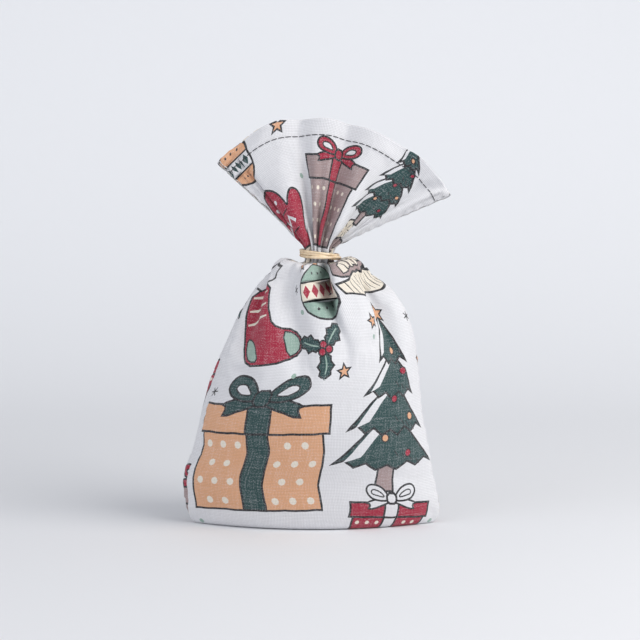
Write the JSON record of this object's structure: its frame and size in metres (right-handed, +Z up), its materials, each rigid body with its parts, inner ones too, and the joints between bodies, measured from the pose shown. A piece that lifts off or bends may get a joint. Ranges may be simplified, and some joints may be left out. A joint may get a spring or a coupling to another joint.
{
  "type": "pouch",
  "caption": "Filled cotton sachet pouch that stands on its base, with a gathered neck held by a wound rubber band and a hemmed mouth fanned out above it.",
  "frame": {"origin": "centre of the bounding box in X and Y, on the surface that the pouch stands on", "axes": "+Z up through the neck and the mouth, +Y towards the back, +X to the right of someone who looks at the front"},
  "size_m": [0.1132, 0.0598, 0.1705],
  "materials": {
    "printed_cotton": "white plain-weave cotton, screen printed",
    "seam_thread": "white spun sewing thread",
    "hem_thread": "dark grey spun sewing thread",
    "natural_rubber": "uncoloured natural rubber, satin",
    "filling": "dried lavender flowers, matt"
  },
  "bodies": {
    "bag": {"front_panel": "printed_cotton", "back_panel": "printed_cotton", "left_seam_thread": "seam_thread", "right_seam_thread": "seam_thread", "bottom_seam_thread": "seam_thread", "filling": "filling"},
    "collar": {"front_collar": "printed_cotton", "back_collar": "printed_cotton", "left_collar_seam_thread": "seam_thread", "right_collar_seam_thread": "seam_thread", "front_hem_thread": "hem_thread", "back_hem_thread": "hem_thread"},
    "band": {"rubber_band": "natural_rubber"}
  },
  "joints": [
    {"name": "collar_tilt", "type": "hinge", "parent": "bag", "child": "collar", "pos_m": [0.0016, 0, 0.1134], "axis": [1, 0, 0], "range_deg": [-12, 12]},
    {"name": "band_turn", "type": "hinge", "parent": "bag", "child": "band", "pos_m": [0.0016, 0, 0.1134], "axis": [0, 0, 1], "continuous": true}
  ]
}
